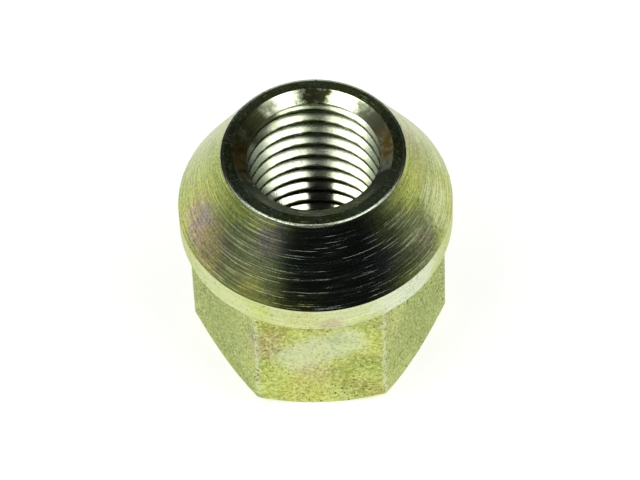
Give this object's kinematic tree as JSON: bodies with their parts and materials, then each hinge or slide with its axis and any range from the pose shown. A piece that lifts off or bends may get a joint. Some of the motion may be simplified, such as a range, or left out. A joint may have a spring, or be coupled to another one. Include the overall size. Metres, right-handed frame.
{
  "type": "lug nut",
  "caption": "Open-ended wheel lug nut: hex body, round collar, conical seat and a countersunk threaded hole, in yellow zinc plated steel.",
  "frame": {"origin": "centre of the hex end's face, on the nut's axis", "axes": "+Z along the axis towards the cone's nose, +Y and -Y square to two opposite flats, +X through a hex corner"},
  "size_m": [0.022, 0.022, 0.022],
  "materials": {
    "zinc_plate": "yellow zinc plated steel, grainy satin on the hex, turned on the cone"
  },
  "bodies": {
    "root": {"lug_nut": "zinc_plate"}
  },
  "joints": []
}
